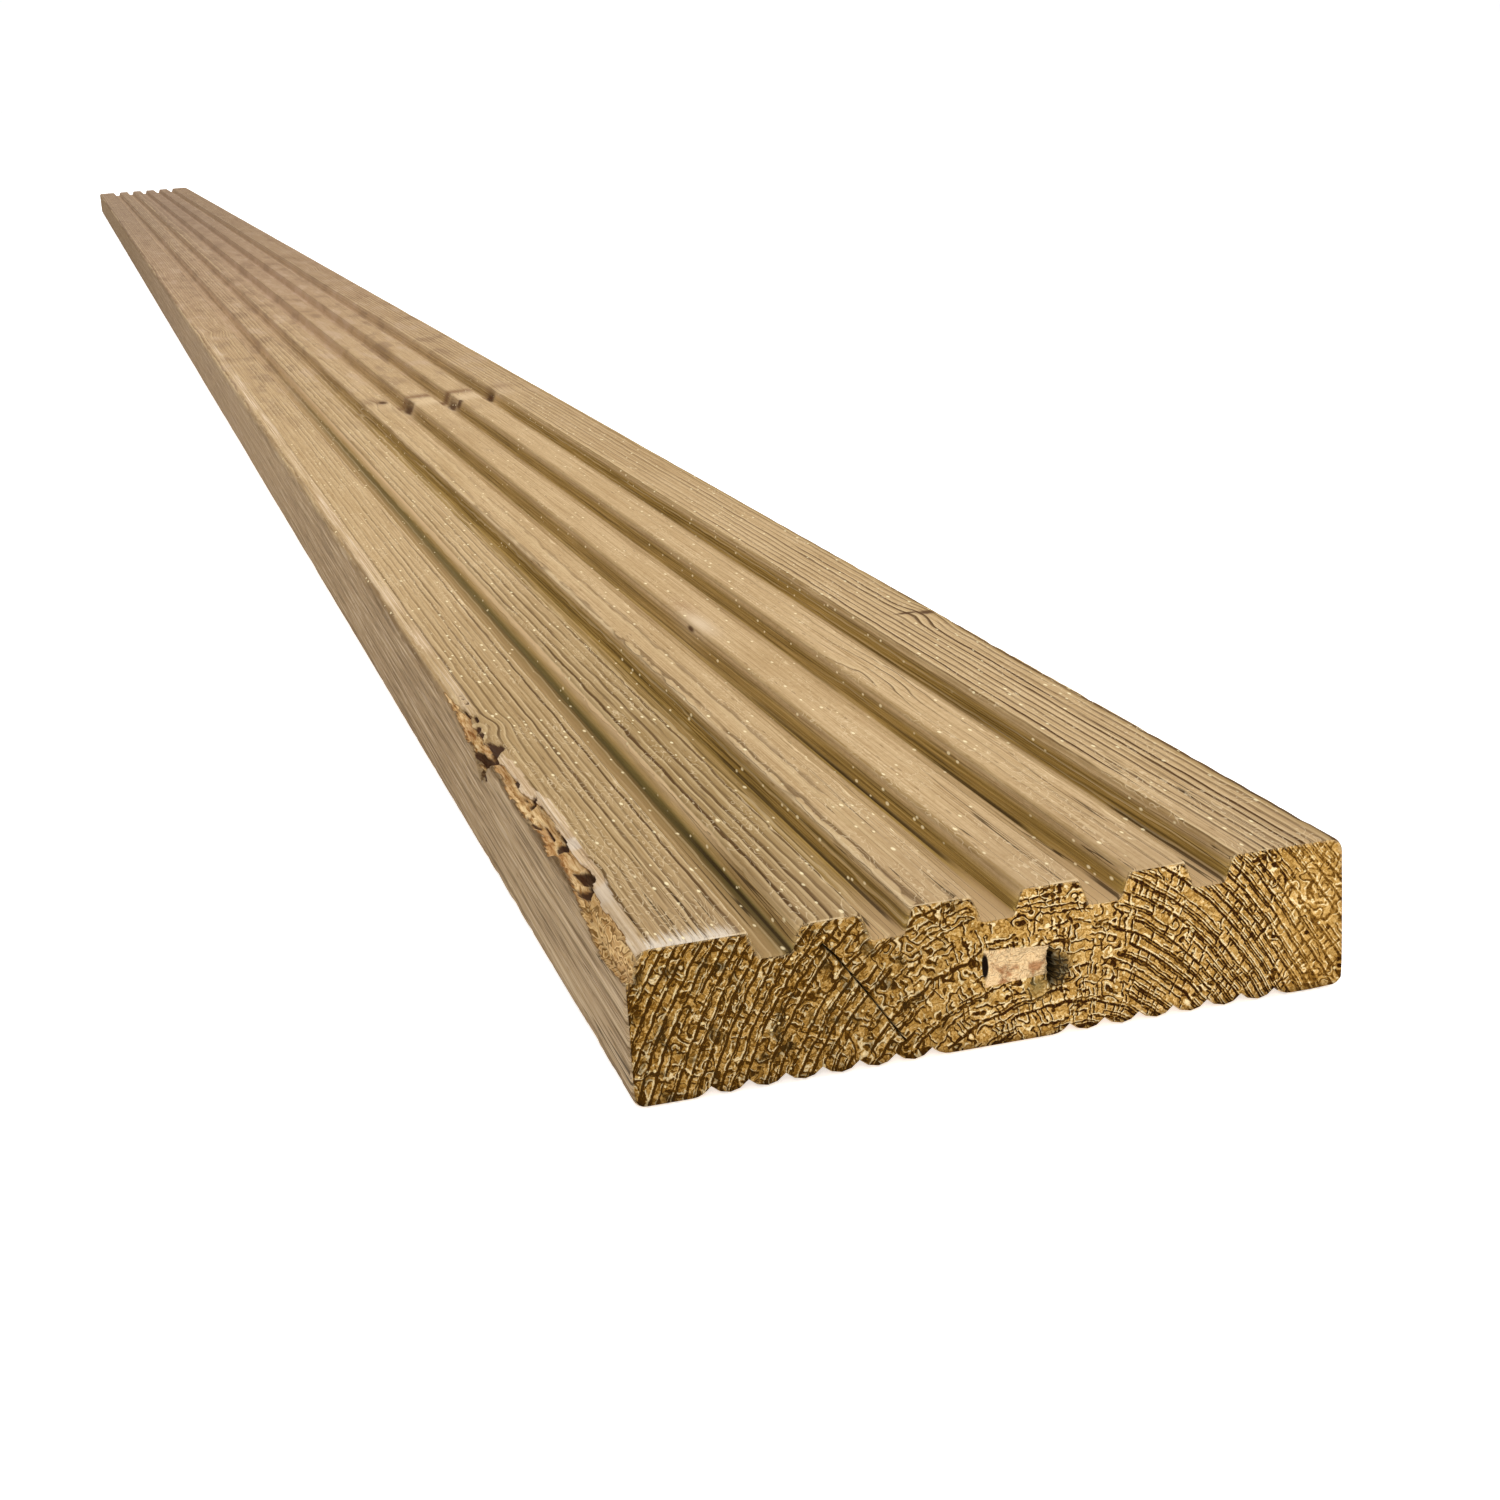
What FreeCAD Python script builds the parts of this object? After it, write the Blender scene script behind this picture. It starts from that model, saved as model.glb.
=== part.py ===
"""Grooved softwood decking board: one planed length of timber.

The section is drawn once, as lines and tangent arcs, and run along the board. The walking face has
drainage grooves, and the underside has two reeded bands that let air pass between board and joist.
Frame: X across the board, Y along it, Z up, origin at the centre of the underside. Millimetres.
"""
import FreeCAD, Part
import math
import os

# Overall size of the board
WIDTH = 144.0
THICKNESS = 31.0
LENGTH = 3900.0

# Rounded long edges
TOP_EDGE_RADIUS = 3.0
BOTTOM_EDGE_RADIUS = 2.5

# Drainage grooves in the walking face, evenly spaced about the middle of the board
GROOVE_COUNT = 5
GROOVE_PITCH = 21.7
GROOVE_DEPTH = 5.3
GROOVE_FLOOR_WIDTH = 5.9
GROOVE_WALL_SLOPE = 20.0  # degrees from the vertical
GROOVE_LIP_RADIUS = 1.0
GROOVE_ROOT_RADIUS = 0.6

# Reeded bands in the underside: rounded reeds that meet in sharp notches
BAND_SPACING = 71.1  # between the middles of the two bands
REEDS_PER_BAND = 6
REED_PITCH = 7.2
REED_DEPTH = 1.8


def section_point(x, z):
    """A point of the section, in the plane of the board's near end."""
    return FreeCAD.Vector(x, -LENGTH / 2, z)


def rounded_path(corners):
    """Edges through (point, radius) corners, each corner rounded by a tangent arc of that radius.

    The first and last corners are the plain ends of the path.
    """
    edges = []
    start = corners[0][0]
    for before, corner, after in zip(corners, corners[1:], corners[2:]):
        point, radius = corner
        back = (before[0] - point).normalize()
        onward = (after[0] - point).normalize()
        half_angle = back.getAngle(onward) / 2
        setback = radius / math.tan(half_angle)
        bisector = (back + onward).normalize()
        arc_start = point + back * setback
        arc_end = point + onward * setback
        arc_middle = point + bisector * (radius / math.sin(half_angle) - radius)
        edges.append(Part.LineSegment(start, arc_start).toShape())
        edges.append(Part.Arc(arc_start, arc_middle, arc_end).toShape())
        start = arc_end
    edges.append(Part.LineSegment(start, corners[-1][0]).toShape())
    return edges


def groove_corners(middle):
    """The four corners of one groove, from right to left."""
    half_floor = GROOVE_FLOOR_WIDTH / 2
    half_mouth = half_floor + GROOVE_DEPTH * math.tan(math.radians(GROOVE_WALL_SLOPE))
    floor_height = THICKNESS - GROOVE_DEPTH
    return [
        (section_point(middle + half_mouth, THICKNESS), GROOVE_LIP_RADIUS),
        (section_point(middle + half_floor, floor_height), GROOVE_ROOT_RADIUS),
        (section_point(middle - half_floor, floor_height), GROOVE_ROOT_RADIUS),
        (section_point(middle - half_mouth, THICKNESS), GROOVE_LIP_RADIUS),
    ]


def sides_and_walking_face(underside_end, underside_start):
    """Up the right side, over the grooved face and down the left side."""
    corners = [(underside_end, 0.0)]
    corners.append((section_point(WIDTH / 2, 0.0), BOTTOM_EDGE_RADIUS))
    corners.append((section_point(WIDTH / 2, THICKNESS), TOP_EDGE_RADIUS))
    for index in range(GROOVE_COUNT):
        middle = ((GROOVE_COUNT - 1) / 2 - index) * GROOVE_PITCH
        corners.extend(groove_corners(middle))
    corners.append((section_point(-WIDTH / 2, THICKNESS), TOP_EDGE_RADIUS))
    corners.append((section_point(-WIDTH / 2, 0.0), BOTTOM_EDGE_RADIUS))
    corners.append((underside_start, 0.0))
    return rounded_path(corners)


def reed_arc(middle, start_angle, end_angle):
    """Part of one reed's round face, by angles from its lowest line, positive to the right."""
    half_pitch = REED_PITCH / 2
    radius = (half_pitch ** 2 + REED_DEPTH ** 2) / (2 * REED_DEPTH)

    def on_reed(angle):
        return section_point(middle + radius * math.sin(angle), radius * (1 - math.cos(angle)))

    mean_angle = (start_angle + end_angle) / 2
    return Part.Arc(on_reed(start_angle), on_reed(mean_angle), on_reed(end_angle)).toShape()


def reeded_band(band_middle):
    """One band from left to right: whole reeds between two half reeds that run out into the flat."""
    notch_angle = 2 * math.atan(REED_DEPTH / (REED_PITCH / 2))
    first_reed = band_middle - (REEDS_PER_BAND - 1) / 2 * REED_PITCH
    last_reed = band_middle + (REEDS_PER_BAND - 1) / 2 * REED_PITCH
    edges = [reed_arc(first_reed - REED_PITCH, 0.0, notch_angle)]
    for index in range(REEDS_PER_BAND):
        edges.append(reed_arc(first_reed + index * REED_PITCH, -notch_angle, notch_angle))
    edges.append(reed_arc(last_reed + REED_PITCH, -notch_angle, 0.0))
    return edges


def board_section():
    """The closed outline of the board's end, as a face."""
    left_band = reeded_band(-BAND_SPACING / 2)
    right_band = reeded_band(BAND_SPACING / 2)
    half_band = (REEDS_PER_BAND + 1) / 2 * REED_PITCH
    centre_strip = Part.LineSegment(
        section_point(half_band - BAND_SPACING / 2, 0.0),
        section_point(BAND_SPACING / 2 - half_band, 0.0),
    ).toShape()
    underside_start = section_point(-BAND_SPACING / 2 - half_band, 0.0)
    underside_end = section_point(BAND_SPACING / 2 + half_band, 0.0)
    outline = left_band + [centre_strip] + right_band
    outline += sides_and_walking_face(underside_end, underside_start)
    return Part.Face(Part.Wire(outline))


decking_board = board_section().extrude(FreeCAD.Vector(0, LENGTH, 0))

os.makedirs("parts", exist_ok=True)
decking_board.exportStep("parts/decking_board.step")
print("valid", decking_board.isValid(), "solids", len(decking_board.Solids), "faces", len(decking_board.Faces))
print("section area", round(board_section().Area, 2), "volume", round(decking_board.Volume, 1))
print("box", decking_board.BoundBox)
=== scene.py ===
"""Looks of a grooved softwood decking board.

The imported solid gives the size. This script rebuilds the same section as a fine mesh, adds the torn edge,
the chipped edges, the drying check and the dents at the long knot as shapes, and finishes the wood with
node materials whose growth rings run through the whole board about one pith. Sizes are in millimetres until
the mesh is made in metres.
"""
import bpy
import math
import numpy as np
from mathutils import Matrix, Vector
from mathutils.geometry import delaunay_2d_cdt


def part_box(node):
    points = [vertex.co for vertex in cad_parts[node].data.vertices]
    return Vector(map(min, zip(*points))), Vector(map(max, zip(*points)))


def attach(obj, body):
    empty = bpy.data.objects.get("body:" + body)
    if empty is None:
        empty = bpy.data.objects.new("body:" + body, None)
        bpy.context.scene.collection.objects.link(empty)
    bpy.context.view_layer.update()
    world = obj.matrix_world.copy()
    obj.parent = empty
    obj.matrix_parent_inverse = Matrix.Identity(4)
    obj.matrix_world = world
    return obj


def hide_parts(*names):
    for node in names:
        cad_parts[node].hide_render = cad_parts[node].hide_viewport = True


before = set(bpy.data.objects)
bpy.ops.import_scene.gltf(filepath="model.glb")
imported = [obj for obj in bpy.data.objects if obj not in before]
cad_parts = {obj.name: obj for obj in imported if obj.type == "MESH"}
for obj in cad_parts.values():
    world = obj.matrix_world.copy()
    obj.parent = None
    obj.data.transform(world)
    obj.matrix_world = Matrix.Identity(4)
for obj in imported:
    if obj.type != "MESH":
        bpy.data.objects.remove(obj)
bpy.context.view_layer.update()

MM = 0.001
node_low, node_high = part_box("decking_board")
WIDTH = (node_high.x - node_low.x) / MM
LENGTH = (node_high.y - node_low.y) / MM
THICKNESS = (node_high.z - node_low.z) / MM
NEAR_END = node_low.y / MM

# Section of the board
TOP_EDGE_RADIUS = 3.0
BOTTOM_EDGE_RADIUS = 2.5
GROOVE_COUNT = 5
GROOVE_PITCH = 21.7
GROOVE_DEPTH = 5.3
GROOVE_FLOOR = THICKNESS - GROOVE_DEPTH
GROOVE_FLOOR_WIDTH = 5.9
GROOVE_WALL_SLOPE = 20.0
GROOVE_LIP_RADIUS = 1.0
GROOVE_ROOT_RADIUS = 0.6
BAND_SPACING = 71.1
REEDS_PER_BAND = 6
REED_PITCH = 7.2
REED_DEPTH = 1.8

# Fineness of the mesh
TOP_STEP = 1.6
SIDE_STEP = 3.0
TORN_STEP = 0.6
TORN_REACH = 11.0
REED_STEPS = 4
FINE_ROW_STEP = 1.6
FINE_ROW_REACH = 215.0
ROW_GROWTH = 0.05
COARSE_ROW_STEP = 70.0
END_ROWS = (0.0, 0.35, 0.9)
NEAR_END_GRID = 0.6
FAR_END_GRID = 3.0
GRID_SHIFT = 0.22
GRID_CLEARANCE = 0.45

# Growth rings: the pith runs under the board
PITH_X = 14.0
PITH_Z = -34.0
RING_SPACING = 2.1

# Upper left edge where the wood is torn away: distance from the near end, reach over the top, reach down
# the side and depth at the edge. A smooth pale ribbon borders it on the top
TEAR = (
    (0.0, 4.4, 6.5, 2.0),
    (20.0, 5.0, 7.5, 2.3),
    (36.0, 5.4, 4.5, 2.2),
    (42.0, 5.8, 2.4, 3.4),
    (47.0, 6.0, 1.8, 4.0),
    (53.0, 5.8, 0.9, 2.4),
    (62.0, 5.8, 0.7, 1.9),
    (70.0, 6.0, 2.0, 2.4),
    (77.0, 6.2, 1.0, 2.4),
    (86.0, 6.4, 1.2, 2.6),
    (97.0, 6.4, 1.8, 2.6),
    (102.0, 5.6, 2.2, 2.8),
    (106.0, 5.0, 1.6, 2.6),
    (113.0, 4.6, 2.4, 2.2),
    (121.0, 4.6, 0.8, 1.6),
    (133.0, 4.4, 0.8, 1.6),
    (140.0, 4.0, 2.6, 2.6),
    (146.0, 4.4, 5.5, 4.0),
    (151.0, 4.6, 8.5, 4.4),
    (156.0, 3.8, 4.5, 3.4),
    (163.0, 3.2, 2.8, 2.0),
    (171.0, 4.2, 3.6, 2.0),
    (180.0, 5.0, 2.0, 1.8),
    (190.0, 3.8, 1.0, 1.0),
    (206.0, 0.8, 0.6, 0.2),
    (212.0, 0.0, 0.0, 0.0),
)
RIBBON_WIDTH = 3.2
RIBBON_FALL = 0.30
TORN_FALL = 0.8
# Length of the painted highlight along the rounded upper left edge
ARRIS_HIGHLIGHT_LENGTH = 1800.0

# Hollows and splinters in the tear, and the undersides of its steps and chips, sunk and painted dark as
# shade:
# distance from the near end, place round the edge, half sizes
TEAR_PITS = (
    (46.0, 1.8, 7.0, 2.6),
    (42.0, -0.6, 5.0, 1.5),
    (50.0, 0.2, 5.0, 0.6),
    (69.0, 1.2, 3.0, 1.7),
    (74.0, 2.6, 6.0, 0.6),
    (80.0, 0.6, 7.0, 0.5),
    (92.0, -0.9, 8.0, 0.4),
    (102.5, 1.6, 2.2, 2.2),
    (108.0, 0.4, 4.0, 0.5),
    (117.0, 1.4, 4.0, 0.5),
    (148.0, 0.8, 9.0, 3.4),
    (153.5, -3.2, 8.0, 2.2),
    (148.5, -6.2, 6.5, 1.6),
    (165.0, 1.0, 7.0, 1.6),
    (175.0, 2.6, 6.0, 0.6),
    (184.0, 1.2, 5.0, 0.5),
    (191.0, 3.2, 1.4, 0.5),
    (195.5, 3.1, 1.2, 0.5),
    (199.5, 3.0, 1.2, 0.5),
    (203.5, 2.9, 1.2, 0.5),
)

# Dents where the long knot crosses groove lips: across, from the near end, half width, half length, depth.
# They grow to their full depth between two heights
LIP_DENTS = (
    (3.9, 791.0, 2.6, 10.0, 1.3),
    (26.0, 789.0, 2.6, 10.0, 1.3),
    (47.4, 806.0, 2.2, 8.0, 0.8),
)
DENT_HEIGHTS = (26.0, 29.0)

# Rows of the mesh at the long knot: start, end and step
KNOT_ROWS = (755.0, 835.0, 4.0)

# Near end: drying check as a line, knot as a block with a hollow beside it (x, z)
CHECK_LINE = ((-33.8, 25.4), (-31.6, 23.0), (-25.8, 14.7), (-19.0, 4.2))
CHECK_DEPTH = 3.0
CHECK_HALF_WIDTH = 0.3
CHECK_STEP = 0.8
CHECK_CLEARANCE = 2.2
END_KNOT = (3.6, 15.8)
END_KNOT_HALF = (6.4, 3.2)
END_HOLLOW = (10.7, 14.2)
END_HOLLOW_HALF = (0.9, 4.2)
END_HOLLOW_DEPTH = 4.0

# Depths of wear and of the sawn ends
CHIP_DEPTH = 0.34
WAVE_DEPTH = 0.05
PIT_DEPTH = 1.1
END_EDGE_DEPTH = 0.32
NEAR_END_SUNK = 0.42
FAR_END_SUNK = 0.2
END_GRIT_DEPTH = 0.22
SAW_MARK_DEPTH = 0.12
END_KNOT_RISE = 0.3


def lattice_noise(a, b, seed):
    """Smooth noise from -1 to 1 over two coordinates, the same on every run."""
    size = 128
    table = np.random.default_rng(seed).uniform(-1.0, 1.0, (size, size))
    a, b = np.broadcast_arrays(np.asarray(a, float), np.asarray(b, float))
    left = np.floor(a).astype(int)
    low = np.floor(b).astype(int)
    u = a - left
    v = b - low
    u = u * u * (3 - 2 * u)
    v = v * v * (3 - 2 * v)
    corners = [table[(left + i) % size, (low + j) % size] for i in (0, 1) for j in (0, 1)]
    near = corners[0] * (1 - v) + corners[1] * v
    far = corners[2] * (1 - v) + corners[3] * v
    return near * (1 - u) + far * u


def smooth_step(value, low, high):
    share = np.clip((value - low) / (high - low), 0.0, 1.0)
    return share * share * (3 - 2 * share)


def rounded_corner(before, corner, after, radius, steps):
    """Points of the tangent arc that rounds a corner of the section."""
    before, corner, after = (np.array(p, float) for p in (before, corner, after))
    back = (before - corner) / np.linalg.norm(before - corner)
    onward = (after - corner) / np.linalg.norm(after - corner)
    half_angle = math.acos(np.clip(back @ onward, -1, 1)) / 2
    bisector = (back + onward) / np.linalg.norm(back + onward)
    centre = corner + bisector * radius / math.sin(half_angle)
    start = corner + back * radius / math.tan(half_angle) - centre
    end = corner + onward * radius / math.tan(half_angle) - centre
    turn = math.acos(np.clip(start @ end / radius ** 2, -1, 1))
    shares = np.linspace(0, 1, steps + 1)
    weights = np.array([(math.sin((1 - t) * turn), math.sin(t * turn)) for t in shares]) / math.sin(turn)
    return [centre + w[0] * start + w[1] * end for w in weights]


def underside_points():
    """Underside from left to right: flat strips and two bands of round reeds."""
    radius = ((REED_PITCH / 2) ** 2 + REED_DEPTH ** 2) / (2 * REED_DEPTH)
    notch_angle = 2 * math.atan(REED_DEPTH / (REED_PITCH / 2))
    points = []
    for band in (-BAND_SPACING / 2, BAND_SPACING / 2):
        first = band - (REEDS_PER_BAND + 1) / 2 * REED_PITCH
        for reed in range(REEDS_PER_BAND + 2):
            middle = first + reed * REED_PITCH
            start = 0.0 if reed == 0 else -notch_angle
            end = 0.0 if reed == REEDS_PER_BAND + 1 else notch_angle
            for angle in np.linspace(start, end, REED_STEPS + 1)[0 if reed == 0 else 1:]:
                points.append(np.array((middle + radius * math.sin(angle), radius * (1 - math.cos(angle)))))
    return points


def upper_corners():
    """Corners from the right of the underside, up and over the grooves, and down to its left."""
    half_floor = GROOVE_FLOOR_WIDTH / 2
    half_mouth = half_floor + GROOVE_DEPTH * math.tan(math.radians(GROOVE_WALL_SLOPE))
    corners = [((WIDTH / 2, 0.0), BOTTOM_EDGE_RADIUS, 5), ((WIDTH / 2, THICKNESS), TOP_EDGE_RADIUS, 6)]
    for groove in reversed(range(GROOVE_COUNT)):
        middle = (groove - (GROOVE_COUNT - 1) / 2) * GROOVE_PITCH
        corners.append(((middle + half_mouth, THICKNESS), GROOVE_LIP_RADIUS, 4))
        corners.append(((middle + half_floor, GROOVE_FLOOR), GROOVE_ROOT_RADIUS, 2))
        corners.append(((middle - half_floor, GROOVE_FLOOR), GROOVE_ROOT_RADIUS, 2))
        corners.append(((middle - half_mouth, THICKNESS), GROOVE_LIP_RADIUS, 4))
    corners.append(((-WIDTH / 2, THICKNESS), TOP_EDGE_RADIUS, 8))
    corners.append(((-WIDTH / 2, 0.0), BOTTOM_EDGE_RADIUS, 5))
    return corners


def line_step(start, end):
    """How far apart the mesh's lines are on a straight stretch of the section."""
    middle = (start + end) / 2
    if abs(end[0] - start[0]) < 1e-6:
        return SIDE_STEP
    if middle[1] < 1.0:
        return 2 * SIDE_STEP
    return TOP_STEP


def points_between(start, end, step):
    """Evenly spaced points strictly between two points, no further apart than a step."""
    count = max(1, int(math.ceil(np.linalg.norm(end - start) / step)))
    return [start + (end - start) * share for share in np.arange(1, count) / count]


def section_outline():
    """Closed outline of the section: points, and how close each is to a rounded outer edge."""
    under = underside_points()
    corners = upper_corners()
    chain = [(under[-1], 0, 0)] + corners + [(under[0], 0, 0)]
    points = list(under)
    edges = [0.0] * len(under)
    for before, corner, after in zip(chain, chain[1:], chain[2:]):
        arc = rounded_corner(before[0], corner[0], after[0], corner[1], corner[2])
        between = points_between(points[-1], arc[0], line_step(points[-1], arc[0]))
        outer = 1.0 if corner[1] != GROOVE_ROOT_RADIUS else 0.0
        points.extend(between + arc)
        edges.extend([0.0] * len(between) + [outer] * len(arc))
    between = points_between(points[-1], under[0], 2 * SIDE_STEP)
    points.extend(between)
    edges.extend([0.0] * len(between))
    return np.array(points), np.array(edges)


def refine_torn_edge(points, edges):
    """Closer lines of the mesh round the upper left edge, where the wood is torn."""
    corner = np.array((-WIDTH / 2, THICKNESS))
    new_points = []
    new_edges = []
    for index in range(len(points)):
        here = points[index]
        there = points[(index + 1) % len(points)]
        new_points.append(here)
        new_edges.append(edges[index])
        if np.linalg.norm((here + there) / 2 - corner) < TORN_REACH:
            between = points_between(here, there, TORN_STEP)
            new_points.extend(between)
            new_edges.extend([min(edges[index], edges[(index + 1) % len(edges)])] * len(between))
    return np.array(new_points), np.array(new_edges)


def outward_normals(points):
    ahead = np.roll(points, -1, axis=0) - points
    behind = points - np.roll(points, 1, axis=0)
    ahead /= np.linalg.norm(ahead, axis=1)[:, None]
    behind /= np.linalg.norm(behind, axis=1)[:, None]
    along = ahead + behind
    along /= np.linalg.norm(along, axis=1)[:, None]
    return np.stack([along[:, 1], -along[:, 0]], axis=1)


def place_round_edge(points):
    """Distance of each outline point from the upper left edge, measured along the outline: over the
    top is positive, down the side negative."""
    steps = np.linalg.norm(np.roll(points, -1, axis=0) - points, axis=1)
    travelled = np.concatenate([[0.0], np.cumsum(steps)[:-1]])
    total = steps.sum()
    diagonal = np.abs((points[:, 0] + WIDTH / 2) - (THICKNESS - points[:, 1]))
    far_off = np.linalg.norm(points - np.array((-WIDTH / 2, THICKNESS)), axis=1) > TOP_EDGE_RADIUS
    middle = np.argmin(diagonal + 1e3 * far_off)
    return (travelled[middle] - travelled + total / 2) % total - total / 2


def row_places():
    """Distances of the mesh's rows from the near end, closest together near that end."""
    places = list(END_ROWS)
    knot_start, knot_end, knot_step = KNOT_ROWS
    while places[-1] < LENGTH - COARSE_ROW_STEP:
        grown = FINE_ROW_STEP + ROW_GROWTH * max(0.0, places[-1] - FINE_ROW_REACH)
        if knot_start < places[-1] + grown and places[-1] < knot_end:
            grown = max(knot_step, knot_start - places[-1])
        places.append(places[-1] + min(grown, COARSE_ROW_STEP))
    places.extend(LENGTH - place for place in reversed(END_ROWS))
    return np.array(places)


def tear_relief(places, round_edge):
    """Depth, torn wood, hollows with their painted shade and pale ribbon of the torn edge, for each row and
    outline point. Beyond the tear the ribbon mask carries a painted highlight along the rounded edge.
    """
    s = places[:, None]
    u = round_edge[None, :]
    stations, over, down, depth = np.array(TEAR).T
    over, down, depth = (np.interp(s, stations, column) for column in (over, down, depth))
    there = smooth_step(over, 0.0, 0.8)
    ragged = 0.55 * lattice_noise(s / 4.0, u / 9.0, 11) + 0.35 * lattice_noise(s / 1.9, u / 2.5, 12)
    scale = np.minimum(1.0, np.maximum(over, 0.1) / 4.4)
    from_top = over - u + 0.5 * ragged
    from_side = down + u + ragged * np.minimum(1.3, down)
    ribbon_end = (RIBBON_WIDTH + 0.8 * lattice_noise(s / 9.0, 0.5, 17)) * scale
    torn_end = ribbon_end + TORN_FALL * scale
    ribbon_depth = RIBBON_FALL * np.clip(from_top, 0.0, ribbon_end)
    wall_depth = depth - RIBBON_FALL * ribbon_end
    top_depth = ribbon_depth + wall_depth * smooth_step(from_top, ribbon_end, torn_end)
    side_depth = depth * smooth_step(from_side, 0.0, np.minimum(np.maximum(down, 0.1), 1.8))
    cut = np.where(u > 0, top_depth, side_depth) * there
    inside_top = smooth_step(from_top, ribbon_end, ribbon_end + 0.5)
    inside_side = smooth_step(from_side, 0.0, 0.6)
    torn = np.where(u > 0, inside_top, inside_side) * there
    fibres = 0.45 * lattice_noise(s / 11.0, u / 0.9, 14) + 0.3 * lattice_noise(s / 3.2, u / 1.0, 15)
    cut = cut + torn * fibres * np.minimum(depth, 1.6) * 0.5
    pit = np.zeros_like(cut)
    for middle, round_place, half_length, half_round in TEAR_PITS:
        reach = ((s - middle) / half_length) ** 2 + ((u - round_place) / half_round) ** 2
        pit = np.maximum(pit, smooth_step(1.1 - reach + 0.9 * ragged, 0.0, 1.0))
    cut = cut + PIT_DEPTH * pit * there
    ribbon = smooth_step(from_top, 0.0, 0.4) * (u > 0) * there * smooth_step(150.0 - s, 0.0, 20.0)
    # Beyond the tear: a painted highlight along the rounded upper left edge, kept with the ribbon
    arris_highlight_middle = 3.0 + 1.4 * smooth_step(s, 350.0, 900.0)
    painted_edge_highlight = smooth_step(3.2 - np.abs(u - arris_highlight_middle), 0.0, 2.2)
    painted_edge_highlight = painted_edge_highlight * smooth_step(ARRIS_HIGHLIGHT_LENGTH - s, 0.0, 900.0)
    painted_edge_highlight = painted_edge_highlight * smooth_step(s, 150.0, 215.0) * (0.6 + 0.25 * lattice_noise(s / 30.0, u / 3.0, 16))
    ribbon = np.maximum(ribbon, painted_edge_highlight) * (1 - torn)
    return np.maximum(cut, 0.0), torn, pit, ribbon


def dent_relief(places, points):
    """Dents where the long knot crosses the lips of the grooves."""
    s = places[:, None]
    x, z = points.T[:, None]
    top = smooth_step(z, *DENT_HEIGHTS)
    dents = np.zeros((len(places), len(points)))
    for across, along, half_width, half_length, depth in LIP_DENTS:
        reach = ((x - across) / half_width) ** 2 + ((s - along) / half_length) ** 2
        dents = dents + depth * smooth_step(1.0 - reach, 0.0, 1.0) * top
    return dents


def wear_relief(places, points, edges):
    """Small unevenness of the planed faces and chips along the rounded outer edges."""
    s = places[:, None]
    x, z = points.T[:, None]
    across = x + 1.7 * z
    chips = np.clip(lattice_noise(s / 7.0, across / 6.0, 21) - 0.25, 0, 1)
    chips = chips + 0.5 * np.clip(lattice_noise(s / 2.6, across / 4.0, 22) - 0.2, 0, 1)
    wear = CHIP_DEPTH * chips * edges[None, :]
    waves = WAVE_DEPTH * (1 + lattice_noise(s / 60.0, across / 15.0, 23))
    return wear + waves


def end_relief(places):
    """The long edges of both ends are slightly broken."""
    from_end = np.minimum(places, LENGTH - places)
    return END_EDGE_DEPTH * np.clip(1 - from_end / END_ROWS[-1], 0, 1)[:, None] ** 1.5


def segment_distance(points, start, end):
    start = np.array(start)
    run = np.array(end) - start
    share = np.clip(((points - start) @ run) / (run @ run), 0, 1)
    return np.linalg.norm(points - start - share[:, None] * run, axis=1)


def check_distance(points):
    """Distance of points of the near end from the drying check."""
    return np.min([segment_distance(points, a, b) for a, b in zip(CHECK_LINE, CHECK_LINE[1:])], axis=0)


def inside_outline(points, outline):
    """Which points lie inside the closed outline, by counting crossings."""
    x, z = points.T
    inside = np.zeros(len(points), bool)
    for a, b in zip(outline, np.roll(outline, -1, axis=0)):
        crosses = (a[1] > z) != (b[1] > z)
        at = a[0] + (z - a[1]) / np.where(b[1] == a[1], 1e-12, b[1] - a[1]) * (b[0] - a[0])
        inside ^= crosses & (x < at)
    return inside


def end_points(outline, grid, seed):
    """Points inside an end of the board, on a loose grid that keeps clear of the outline."""
    rng = np.random.default_rng(seed)
    xs = np.arange(-WIDTH / 2, WIDTH / 2, grid)
    zs = np.arange(0, THICKNESS, grid)
    points = np.stack(np.meshgrid(xs, zs), axis=-1).reshape(-1, 2)
    points = points + rng.uniform(-GRID_SHIFT, GRID_SHIFT, points.shape) * grid
    points = points[inside_outline(points, outline)]
    from_outline = np.min(np.linalg.norm(points[:, None] - outline[None], axis=2), axis=1)
    return points[from_outline > GRID_CLEARANCE * grid]


def check_points():
    """Points along the bottom and both rims of the drying check."""
    points = []
    for start, end in zip(CHECK_LINE, CHECK_LINE[1:]):
        start = np.array(start)
        run = np.array(end) - start
        side = np.array((-run[1], run[0])) / np.linalg.norm(run)
        for share in np.arange(0.0, 1.0, CHECK_STEP / np.linalg.norm(run)):
            for offset in (-CHECK_HALF_WIDTH, 0.0, CHECK_HALF_WIDTH):
                points.append(start + run * share + side * offset)
    return np.array(points)


def near_end_points(outline):
    """Points inside the near end: a loose grid, and lines of points along the drying check."""
    points = end_points(outline, NEAR_END_GRID, 41)
    points = points[check_distance(points) > CHECK_CLEARANCE * CHECK_HALF_WIDTH]
    return np.concatenate([points, check_points()])


def skin_faces(rows, count):
    """Faces of four sides between the rows of the section."""
    faces = []
    for base in range(0, (rows - 1) * count, count):
        for k in range(count):
            n = (k + 1) % count
            faces.append((base + k, base + n, base + count + n, base + count + k))
    return faces


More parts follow.
